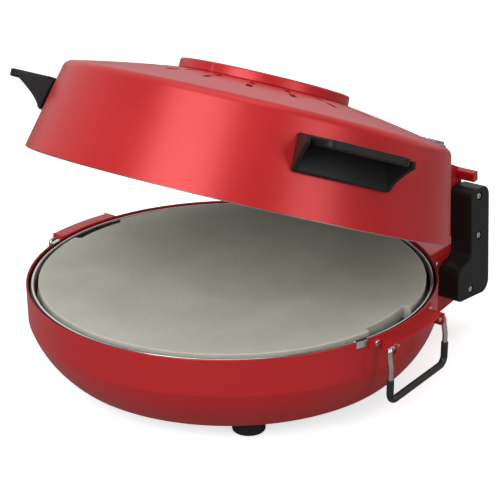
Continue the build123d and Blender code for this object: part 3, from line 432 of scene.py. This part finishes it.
# %% From rings to a closed surface
def solid(points, quads, caps):
    """Welds points that coincide, turns pinched faces into triangles, and faces all outwards,
    which is so when the volume under the faces, summed from the origin, is positive."""
    _, first, merged = np.unique(np.round(points, 4), axis=0, return_index=True, return_inverse=True)
    merged = merged.reshape(-1)
    quads, points = merged[quads], points[first]
    pinched = quads == np.roll(quads, -1, 1)
    whole, three = quads[pinched.sum(1) == 0], pinched.sum(1) == 1
    corners = (pinched[three].argmax(1)[:, None] + np.arange(1, 4)) % 4
    triangles = np.take_along_axis(quads[three], corners, 1)
    faces = whole.tolist() + triangles.tolist() + [merged[c].tolist() for c in caps]
    fans = [whole[:, :3], whole[:, [0, 2, 3]], triangles]
    fans += [np.stack([np.full(len(c) - 2, merged[c[0]]), merged[c[1:-1]], merged[c[2:]]], 1) for c in caps]
    a, b, c = np.moveaxis(points[np.concatenate(fans)], 1, 0)
    if (a * np.cross(b, c)).sum() < 0:
        faces = [face[::-1] for face in faces]
    return points, faces


def loft(rings, around=False, closed=True):
    """Rings of points joined in order. around joins the last ring to the first; otherwise each
    end is capped, unless it is already a point."""
    rows, columns = rings.shape[:2]
    i = np.arange(rows if around else rows - 1)[:, None]
    j = np.arange(columns if closed else columns - 1)[None, :]
    i2, j2 = (i + 1) % rows, (j + 1) % columns
    quads = np.stack(
        [i * columns + j, i2 * columns + j, i2 * columns + j2, i * columns + j2], -1
    ).reshape(-1, 4)
    edge, caps = np.arange(columns), []
    if not around and np.ptp(rings[0], axis=0).max() > 1e-3:
        caps.append(edge)
    if not around and np.ptp(rings[-1], axis=0).max() > 1e-3:
        caps.append(edge[::-1] + (rows - 1) * columns)
    return solid(rings.reshape(-1, 3), quads, caps)


def joined(*shapes):
    """Several closed shapes as one."""
    starts = np.cumsum([0] + [len(points) for points, _ in shapes])
    faces = [[v + start for v in face] for (_, fs), start in zip(shapes, starts) for face in fs]
    return np.concatenate([points for points, _ in shapes]), faces


# %% Three ways to make rings
def turned(outline, angles=None, inset=None, change=None, closed=True):
    """An outline of radius and height carried round Z: x = r cos a, y = r sin a, z = h. inset
    pulls each ring's outline inwards, and change(r, h, a) may reshape the rings."""
    around = angles is None
    angles = np.linspace(0, 2 * pi, 288, endpoint=False) if around else angles
    around = around or angles[-1] - angles[0] > 2 * pi * 0.98
    line = np.broadcast_to(outline, (len(angles), *outline.shape))
    if inset is not None:
        line = line - outward(outline) * inset[:, None, None]
    r, h, a = line[..., 0], line[..., 1], angles[:, None]
    if change:
        r, h = change(r, h, a)
    return loft(np.stack(np.broadcast_arrays(r * np.cos(a), r * np.sin(a), h), -1), around, closed)


def plate(outline, low, high, edge, steps=3, hold=0.3):
    """An outline standing from low to high, its edges rounded by drawing it in along its normals
    as the height follows a quarter circle."""
    a = np.linspace(0, pi / 2, steps + 1)
    inset = np.concatenate([[edge + hold], edge - edge * np.sin(a), [0]])
    rise = np.concatenate([[0], edge - edge * np.cos(a), [edge + hold]])
    inset, level = np.concatenate([inset, inset[::-1]]), np.concatenate([low + rise, high - rise[::-1]])
    flat = outline[None] - outward(outline)[None] * inset[:, None, None]
    return loft(np.concatenate([flat, np.broadcast_to(level[:, None, None], (*flat.shape[:2], 1))], -1))


def tube(path, radius, square_to, count=18):
    """A circle carried along a path, each ring square to the path's direction."""
    along = unit(np.gradient(path, axis=0))
    side = unit(np.cross(along, square_to))
    up = np.cross(side, along)
    a = np.linspace(0, 2 * pi, count, endpoint=False)[None, :, None]
    return loft(
        path[:, None] + np.reshape(radius, (-1, 1, 1)) * (np.cos(a) * side[:, None] + np.sin(a) * up[:, None])
    )


def ring_cells(rows, count):
    """Corner numbers of the four-sided cells between rows of points that each close on themselves."""
    i, j = np.arange(rows - 1)[:, None], np.arange(count)[None, :]
    following = (j + 1) % count
    corners = (i * count + j, (i + 1) * count + j, (i + 1) * count + following, i * count + following)
    return np.stack(np.broadcast_arrays(*corners), -1)


# %% From a shape to a finished piece
def make_piece(name, shape, place, slot, body, *replaced):
    """A mesh object in metres with smooth shading, its finish, its body and the nodes it stands for."""
    points, faces = shape
    mesh = bpy.data.meshes.new(name)
    mesh.from_pydata(in_frame(points, place) * MM, [], faces)
    mesh.shade_smooth()
    mesh.materials.append(finishes[slot])
    piece = bpy.data.objects.new(name, mesh)
    bpy.context.scene.collection.objects.link(piece)
    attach(piece, body)
    if replaced:
        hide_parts(*replaced)
    print(f"{name}: {len(mesh.vertices)} points, {len(mesh.polygons)} faces")
    return piece


# %% [markdown]
# ## The base
# The tub is one pressing: an upright wall, a crease, and a taper that curves in to the foot
# ring. Carrying its closed section round the axis gives it a real thickness. At the back the
# rim is a little lower, where the lid's edge swings past, so the section's top is changed there.

# %% The painted tub
RIM_Z, CREASE_Z = 81.0, 51.5
taper_turn = np.linspace(0, 1, 16)[1:-1]


def through(a, b, c, t):
    """A curve through three points: a at t = 0, b half way and c at the end."""
    t = t[:, None]
    return np.array(a) * (1 - t) * (1 - 2 * t) + np.array(b) * 4 * t * (1 - t) + np.array(c) * t * (2 * t - 1)


tub_outer = through((170, CREASE_Z), (161, 31.5), (147, 14.7), taper_turn)
tub_inner = through((168.4, CREASE_Z), (159.4, 32.4), (146, 16.3), taper_turn)[::-1]
tub_outline = np.concatenate([
    rounded([(168.4, RIM_Z, 0.7), (170, RIM_Z, 0.7), (170, CREASE_Z, 3.0), (*tub_outer[0], 0)])[:-1],
    tub_outer,
    rounded(
        [(*tub_outer[-1], 0), (147, 14.7, 0.8), (112, 14.7, 0.3), (112, 16.3, 0.3), (145.6, 16.3, 0.8)]
    )[1:],
    tub_inner,
    [(168.4, CREASE_Z)],
])


def lower_rear_rim(r, h, a):
    """The rim drops 2 mm within 29 degrees of the back, over a short slope."""
    off_back = np.degrees(np.abs(np.angle(np.exp(1j * (a - pi / 2)))))
    drop = 2.0 * np.clip((29.4 - off_back) / 0.8, 0, 1)
    return r, h - drop * np.clip((h - 60) / 15, 0, 1)


tub_angles = np.linspace(0, 2 * pi, 360, endpoint=False)
tub = turned(tub_outline, tub_angles, change=lower_rear_rim)
make_piece("painted_tub", tub, BASE, "red_paint", "base", "base_shell")

# %% [markdown]
# Inside the tub sits a dark enamelled pan with a ledge for the stone, and a bright bead hides
# the joint between pan and rim. Both are turned shapes too.

# %% The enamelled pan and its bright bead
pan_outline = rounded([
    (0, 46, 0), (141, 46, 4), (149, 69.7, 2), (162.2, 69.7, 1.2), (163.4, 77.4, 0.6), (166.6, 77.4, 0.6),
    (168.2, 73, 0.2),
    (167.5, 72.6, 0.2), (166.2, 76.6, 0.5), (164.1, 76.6, 0.4), (163.0, 68.9, 1.6), (149.6, 68.9, 2.6),
    (141.6, 45.2, 4.6), (0, 45.2, 0),
], steps=3, hold=0.2)
make_piece("enamelled_pan", turned(pan_outline, closed=False), BASE, "pan_enamel", "base", "base_pan")
bead = np.linspace(0, 2 * pi, 20, endpoint=False)
bead_outline = np.stack([165.0 + 1.2 * np.cos(bead), 78.65 + 1.2 * np.sin(bead)], -1)
make_piece("bright_bead", turned(bead_outline), BASE, "trim_chrome", "base", "pan_trim_ring")

# %% [markdown]
# The stone is a cast disc. Two shallow finger notches let it be lifted out, so its radius is
# 6 mm smaller there. Angles are packed closely at the notches' ends to keep them crisp.

# %% The baking stone
STONE_TOP, STONE_T = 81.0, 11.0
notch_ends = np.radians(np.array([-10.6, -10.3, -10.0, -9.7, 9.7, 10.0, 10.3, 10.6]))
far_ends = notch_ends + pi - 2 * pi * (notch_ends > 0)
stone_angles = np.unique(np.concatenate([np.linspace(-pi, pi, 240, endpoint=False), notch_ends, far_ends]))
stone_outline = rounded([
    (0, STONE_TOP, 0), (160, STONE_TOP, 0.9), (160, STONE_TOP - STONE_T, 0.5), (0, STONE_TOP - STONE_T, 0),
], steps=3)
stone_outline = np.concatenate(
    [stone_outline[:1], [(r, STONE_TOP) for r in (40, 80, 120, 145)], stone_outline[1:]]
)


def finger_notches(r, h, a):
    """Radius drawn in by up to 6 mm within 10 degrees of each side, at the stone's edge only."""
    off_side = np.degrees(np.abs(np.angle(np.exp(2j * a)) / 2))
    return r - 6.0 * np.clip((10.45 - off_side) / 0.6, 0, 1) * np.clip((r - 146) / 12, 0, 1), h


stone = turned(stone_outline, stone_angles, change=finger_notches, closed=False)
make_piece("cast_stone", stone, BASE, "baking_stone", "stone", "stone_plate")

# %% [markdown]
# ## The lid
# The dome is a thin pressing with forty vents. Its grid is bent so that lines run exactly
# along each slot's edges: near a slot a line keeps a fixed distance from the slot's middle, and
# between slots the lines spread evenly. Leaving out the faces inside the slots cuts the holes,
# Solidify gives the sheet its 1.2 mm, and Bevel breaks the edges.

# %% The lid's section
LID_R, LID_TOP_R, LID_WALL_H = 176.5, 160.0, 73.0
DOME = ((LID_TOP_R, LID_WALL_H), (113.0, 82.2), (62.0, 90.0))


def circle_through(a, b, c):
    """Centre of the circle through three points, from two equal-distance equations."""
    rows = 2 * np.array([np.subtract(b, a), np.subtract(c, a)])
    squares = np.array([np.dot(b, b) - np.dot(a, a), np.dot(c, c) - np.dot(a, a)])
    return np.linalg.solve(rows, squares)


dome_centre = circle_through(*DOME)
dome_radius = np.hypot(*(np.array(DOME[0]) - dome_centre))


def dome_h(r):
    """Height of the dome at a radius."""
    return dome_centre[1] + np.sqrt(dome_radius**2 - (r - dome_centre[0]) ** 2)


def wall_r(h):
    """Outer radius of the lid's slanted wall at a height."""
    return LID_R + (LID_TOP_R - LID_R) * h / LID_WALL_H


VENTS, VENT_START, VENT_HALF_W = 20, radians(-4.5), 2.5
VENT_ROWS = ((80.0, 92.0), (98.0, 112.0))
dome_rows = np.concatenate([
    [62, 66, 70, 73, 76, 79.3], np.linspace(80, 92, 5), [92.7, 95, 97.3], np.linspace(98, 112, 5), [112.7],
    np.arange(116, 153, 4.5),
])
shoulder = rounded(
    [(148, float(dome_h(148)), 0), (LID_TOP_R, LID_WALL_H, 8), (LID_R, 0, 0)], steps=9, hold=0.8
)[1:-1]
wall_rows = np.linspace(66, 0, 9)
section_r = np.concatenate([dome_rows, shoulder[:, 0], wall_r(wall_rows)])
section_h = np.concatenate([dome_h(dome_rows), shoulder[:, 1], wall_rows])
print("dome radius", round(float(dome_radius), 1), "mm, rows", len(section_r))

# %% The dome with its vents
between = 14
sector = 2 * pi / VENTS
slot_half = np.arcsin(VENT_HALF_W / np.clip(section_r, 80, 112))[:, None]
spread = np.linspace(0, 1, between + 1)[None, :]
columns = np.concatenate(
    [-slot_half, np.zeros_like(slot_half), slot_half + (sector - 2 * slot_half) * spread[:, :-1]], 1
)
angles = (columns[:, None] + sector * np.arange(VENTS)[None, :, None]).reshape(len(section_r), -1) + VENT_START
heights = np.broadcast_to(section_h[:, None], angles.shape)
sheet = np.stack([section_r[:, None] * np.cos(angles), section_r[:, None] * np.sin(angles), heights], -1)
rows, per_row = angles.shape
cells = ring_cells(rows, per_row)
middle_r = (section_r[:-1] + section_r[1:])[:, None] / 2
on_dome = (np.arange(rows - 1) < len(dome_rows))[:, None]
in_vent_row = sum((middle_r > low) & (middle_r < high) for low, high in VENT_ROWS) > 0
cut = in_vent_row & on_dome & (np.arange(per_row) % (between + 2) < 2)[None, :]

# %% [markdown]
# A flat round seat for the timer dial is pressed into the dome near its edge. The dome's cells
# there are left out and a patch of rings about the dial's own axis closes the gap: it starts a
# hair above the dome, drops down a steep wall and ends as a flat floor with the spindle's hole.

# %% The dial's seat, joined to the dome
KNOB_X, KNOB_Y, KNOB_R, KNOB_LIFT = 111.0, 84.0, 17.0, 0.9
SEAT_R, SEAT_H, SEAT_STEPS = 18.6, 73.6, 144
SPINDLE_HOLE_R, PATCH_R, PATCH_LIFT = 3.5, 26, 0.1
knob_r = hypot(KNOB_X, KNOB_Y)
edge_row = int(np.searchsorted(section_r, knob_r + SEAT_R + 1.6))
edge_r = section_r[edge_row] + PATCH_LIFT
cell_middle = (sheet[:-1] + sheet[1:] + np.roll(sheet[:-1], -1, 1) + np.roll(sheet[1:], -1, 1)) / 4
near_dial = np.hypot(cell_middle[..., 0] - KNOB_X, cell_middle[..., 1] - KNOB_Y) < PATCH_R - 3.4
under_patch = near_dial & (np.arange(rows - 1) < edge_row)[:, None]
seat_turn = np.linspace(0, 2 * pi, SEAT_STEPS, endpoint=False)
along = np.stack([np.cos(seat_turn), np.sin(seat_turn)], -1)
towards = along @ np.array([KNOB_X, KNOB_Y])
reach = np.minimum(PATCH_R, np.sqrt(towards**2 + edge_r**2 - knob_r**2) - towards)
seat_r, climbed = np.array([
    (SPINDLE_HOLE_R, 0), (8, 0), (13, 0), (17.6, 0), (18.4, 0),
    (SEAT_R, 0.04), (18.7, 0.2), (18.78, 0.5), (18.88, 0.8), (19.05, 0.95), (19.4, 1),
]).T
outer = np.array([0.25, 0.5, 0.75, 1])[:, None]
distance = np.concatenate(
    [np.repeat(seat_r[:, None], SEAT_STEPS, 1), seat_r[-1] + (reach - seat_r[-1]) * outer]
)
climbed = np.concatenate([climbed, np.ones(len(outer))])[:, None]
patch_xy = np.array([KNOB_X, KNOB_Y]) + distance[..., None] * along
surface = np.interp(np.linalg.norm(patch_xy, axis=-1), section_r, section_h) + PATCH_LIFT
seat_floor = np.minimum(surface - PATCH_LIFT, SEAT_H)
patch = np.concatenate([patch_xy, (seat_floor + (surface - seat_floor) * climbed)[..., None]], -1)
patch_cells = ring_cells(len(patch), SEAT_STEPS).reshape(-1, 4)
pressed_sheet = sheet.reshape(-1, 3), cells[~(cut | under_patch)].tolist()
dome = joined(pressed_sheet, (patch.reshape(-1, 3), patch_cells.tolist()))
lid_shell = make_piece("domed_lid", dome, LID, "red_paint", "lid", "lid_shell")
thicken = lid_shell.modifiers.new("sheet", "SOLIDIFY")
thicken.thickness, thicken.offset = 1.2 * MM, -1
soften = lid_shell.modifiers.new("edges", "BEVEL")
soften.width, soften.segments, soften.limit_method, soften.angle_limit = 0.3 * MM, 2, "ANGLE", radians(50)
soften.harden_normals = True
print("vent cells left out:", int(cut.sum()))

# %% [markdown]
# Under the dome is a bright liner, hemmed outwards at its lower edge; the hem shows as a thin
# pale line below the red. The window sits in a raised ring whose ends meet in a fine seam at
# the front.

# %% The liner and the window ring
liner_outline = rounded([
    (175.6, -1.0, 0.45), (171.4, -1.0, 0.4), (157.2, 61.2, 6), (50, 61.2, 0.3), (50, 62, 0.3), (157.8, 62, 6.8),
    (172.2, 0, 0.4), (175.6, 0, 0.45),
], steps=4, hold=0.15)
make_piece("bright_liner", turned(liner_outline), LID, "liner_steel", "lid", "lid_liner")
RING_R, RING_TOP = 70.5, 96.7
ring_outline = rounded([
    (RING_R + 0.3, float(dome_h(RING_R)) + 0.25, 0.1), (RING_R, RING_TOP, 1.6), (64.2, RING_TOP, 0.5),
    (64.2, 92.2, 0.1),
    (58.5, 92.2, 0.4), (58.5, 90.4, 0.4), (62.2, 90.4, 0.4),
], steps=4)
seam = radians(-89)
seam_steps = seam + np.radians([-0.75, -0.45, 0, 0.45, 0.75])
seam_angles = np.sort(np.concatenate([np.linspace(-pi, pi, 240, endpoint=False), seam_steps]))


def ring_seam(r, h, a):
    """The outer wall steps in 0.9 mm along a narrow line."""
    return r - 0.9 * np.clip((np.radians(0.75) - np.abs(a - seam)) / np.radians(0.3), 0, 1) * (r > 66), h


make_piece(
    "window_frame", turned(ring_outline, seam_angles, change=ring_seam), LID, "red_paint", "lid", "window_ring"
)

# %% [markdown]
# ## The lid's handles
# Each handle is a moulding in four parts that run into each other: a curved back plate on the
# lid's wall, a flat grip that stands out from its top, and a hollow-curved web at each end.
# The back plate is turned about the lid's axis, and drawing its outline in near the two ends
# rounds them.

# %% One handle, and its mirror image
HANDLE_MIDDLE, HANDLE_HALF = radians(-28.6), radians(13.6)
HANDLE_LOW, HANDLE_HIGH, GRIP_OUT, GRIP_T = 30.0, 57.5, 38.0, 6.6
root = wall_r(HANDLE_HIGH)
back_outline = rounded([
    (wall_r(HANDLE_LOW) + 0.05, HANDLE_LOW, 0.3), (wall_r(HANDLE_LOW) + 4.5, HANDLE_LOW, 2.0),
    (root + 3.5, HANDLE_HIGH - 0.3, 2.0), (root + 0.05, HANDLE_HIGH - 0.3, 0.3),
], steps=3)


def end_rounding(half_span, edge, radius, count=40):
    """Angles from one end to the other, and how far the outline is drawn in to round both ends."""
    a = np.linspace(0, pi / 2, 4)
    lead = edge * (1 - np.cos(a)) / radius
    inner = np.linspace(-half_span + edge * 1.4 / radius, half_span - edge * 1.4 / radius, count)
    angles = np.concatenate([-half_span + lead, inner, (half_span - lead)[::-1]])
    inset = np.concatenate([edge - edge * np.sin(a), np.zeros(count), (edge - edge * np.sin(a))[::-1]])
    return angles, inset


def about_axis(shape, turn):
    """A shape turned round its frame's Z axis."""
    points, faces = shape
    x, y, z = points.T
    return np.stack([x * cos(turn) - y * sin(turn), x * sin(turn) + y * cos(turn), z], -1), faces


back_angles, back_inset = end_rounding(HANDLE_HALF, 1.9, root)
back_plate = turned(back_outline, back_angles, inset=back_inset)
grip_outline = rounded([
    (root - 0.2, 39.0, 0), (168, 39.2, 3), (root + GRIP_OUT, 33, 8), (root + GRIP_OUT, -33, 8), (168, -39.2, 3),
    (root - 0.2, -39.0, 0),
], steps=6)
grip = plate(grip_outline, HANDLE_HIGH - GRIP_T, HANDLE_HIGH, 1.5)
drop = np.linspace(0, 1, 13)
foot, grip_under = wall_r(HANDLE_LOW) + 4.2, HANDLE_HIGH - GRIP_T
WEB_OUT, WEB_HOLLOW, WEB_LOW = 30, 1.45, HANDLE_LOW + 1.5
web_curve = np.stack([
    foot + (root + WEB_OUT - foot) * (1 - drop) ** WEB_HOLLOW, grip_under - (grip_under - WEB_LOW) * drop,
], -1)
web_top = [(root + 1, HANDLE_HIGH - 1.4), (root + WEB_OUT - 1, HANDLE_HIGH - 1.4)]
web_outline = np.concatenate([web_top, web_curve, [(foot - 3, WEB_LOW)]])


def web(at_angle):
    """One end web: its outline stands in the upright plane through the lid's axis."""
    points, faces = plate(web_outline, -1.7, 1.7, 0.8)
    return about_axis((points[:, [0, 2, 1]], [face[::-1] for face in faces]), at_angle)


WEB_ANGLE = HANDLE_HALF - radians(0.7)
right_handle = about_axis(joined(back_plate, grip, web(WEB_ANGLE), web(-WEB_ANGLE)), HANDLE_MIDDLE)
left_handle = right_handle[0] * (-1, 1, 1), [face[::-1] for face in right_handle[1]]
make_piece("right_handle_moulding", right_handle, LID, "black_plastic", "lid", "right_lid_handle")
make_piece("left_handle_moulding", left_handle, LID, "black_plastic", "lid", "left_lid_handle")

# %% [markdown]
# ## The timer dial
# The dial stands on its seat, square to the lid. Its section is turned, and the radius of its
# grip is rippled into flutes by a cosine; a raised pointer marks the setting.

# %% The dial
knob_x = (LID[1] * KNOB_X + LID[2] * KNOB_Y) / knob_r
KNOB = (in_frame(np.array([[KNOB_X, KNOB_Y, SEAT_H]]), LID)[0], knob_x, np.cross(LID[3], knob_x), LID[3])
dial_outline = rounded([
    (0, 4.1, 0), (9, 4.1, 2), (12.4, 5.05, 1.0), (15.0, 5.05, 0.9), (15.4, 2.9, 0.5), (KNOB_R, 2.3, 0.4),
    (KNOB_R, KNOB_LIFT, 0.3), (0, KNOB_LIFT, 0),
], steps=4, hold=0.2)


def flutes(r, h, a):
    """Forty shallow flutes on the grip only."""
    on_grip = np.clip((h - 3.0) / 0.6, 0, 1) * np.clip((4.9 - h) / 0.6, 0, 1) * (r > 14)
    return r - 0.28 * on_grip * (0.5 + 0.5 * np.cos(40 * a)), h


pointer = plate(
    rounded([(-13.2, -0.8, 0.5), (-7.4, -0.8, 0.5), (-7.4, 0.8, 0.5), (-13.2, 0.8, 0.5)]), 4.0, 5.0, 0.2
)
spindle_outline = rounded([(0, 2, 0), (3, 2, 0.3), (3, -7.4, 0.4), (0, -7.4, 0)])
spindle = turned(spindle_outline, np.linspace(0, 2 * pi, 32, endpoint=False), closed=False)
dial = turned(dial_outline, np.linspace(0, 2 * pi, 320, endpoint=False), change=flutes, closed=False)
make_piece("fluted_dial", joined(dial, pointer, spindle), KNOB, "knob_chrome", "timer_dial", "timer_knob")

# %% [markdown]
# ## The carrying bails
# Each bail is one bent wire that hooks into a bracket's two ears, with a rubber sleeve on its
# grip. The bend line is worked out flat, in y and z, and the small step outwards is added as
# x. A wire's end is domed by letting the radius fall to nothing over the last half millimetre.

# %% Wire and sleeve
NEAR_Y, FAR_Y, EAR_Y, HOOK = -36.0, 40.0, 3.0, 29.0
PIVOT_X, PIVOT_Z, GRIP_X, NEAR_Z, FAR_Z = 180.5, 74.7, 182.2, 31.6, 35.0
NEAR_SLEEVE, FAR_SLEEVE = 50.8, 53.8
WIRE_R, SLEEVE_R = 2.1, 2.8


def finely(line, step):
    """The same line with points added until none are further apart than a step."""
    counts = (np.linalg.norm(np.diff(line, axis=0), axis=1) / step).astype(int) + 1
    start = np.repeat(np.arange(len(counts)), counts)
    part = (np.arange(len(start)) - np.repeat(np.cumsum(counts) - counts, counts)) / counts[start]
    return np.concatenate([line[start] + (line[start + 1] - line[start]) * part[:, None], line[-1:]])


def domed_ends(path, radius, bulge, steps=5):
    """The path drawn out by bulge at each end while the radius follows a quarter circle to zero."""
    a = np.linspace(0, pi / 2, steps + 1)[:-1]
    lead = unit(path[:1] - path[1:2]) * (bulge * np.cos(a))[:, None] + path[0]
    tail = unit(path[-1:] - path[-2:-1]) * (bulge * np.cos(a[::-1]))[:, None] + path[-1]
    radii = np.concatenate([radius * np.sin(a), np.full(len(path), radius), radius * np.sin(a[::-1])])
    return np.concatenate([lead, path, tail]), radii


bend_line = finely(rounded([
    (EAR_Y - HOOK, PIVOT_Z, 0), (NEAR_Y, PIVOT_Z, 3.4), (NEAR_Y, NEAR_Z, 7), (FAR_Y, FAR_Z, 7),
    (FAR_Y, PIVOT_Z, 3.4), (EAR_Y + HOOK, PIVOT_Z, 0),
], steps=8, hold=0.5), 2.5)
step_out = np.clip((71.0 - bend_line[:, 1]) / 12, 0, 1)
wire_path = np.stack([PIVOT_X + (GRIP_X - PIVOT_X) * (3 * step_out**2 - 2 * step_out**3), *bend_line.T], -1)
covered = bend_line[:, 1] < np.where(bend_line[:, 0] < EAR_Y, NEAR_SLEEVE, FAR_SLEEVE) - 0.8
sleeve_path = np.concatenate(
    [[(GRIP_X, NEAR_Y, NEAR_SLEEVE - 0.7)], wire_path[covered], [(GRIP_X, FAR_Y, FAR_SLEEVE - 0.7)]]
)
path, radii = domed_ends(wire_path, WIRE_R, 0.6)
bail_wire = tube(path, radii, X_AXIS)
path, radii = domed_ends(sleeve_path, SLEEVE_R, 0.7)
bail_sleeve = tube(path, radii, X_AXIS, count=24)
for side, sign in (("right", 1), ("left", -1)):
    for piece_name, (points, faces), slot, node in (
        ("bent_wire", bail_wire, "wire_chrome", "bail_wire"),
        ("grip_sleeve", bail_sleeve, "sleeve_rubber", "bail_sleeve"),
    ):
        shape = points * (sign, 1, 1), faces if sign > 0 else [face[::-1] for face in faces]
        make_piece(f"{side}_{piece_name}", shape, BASE, slot, f"{side}_bail", f"{side}_{node}")
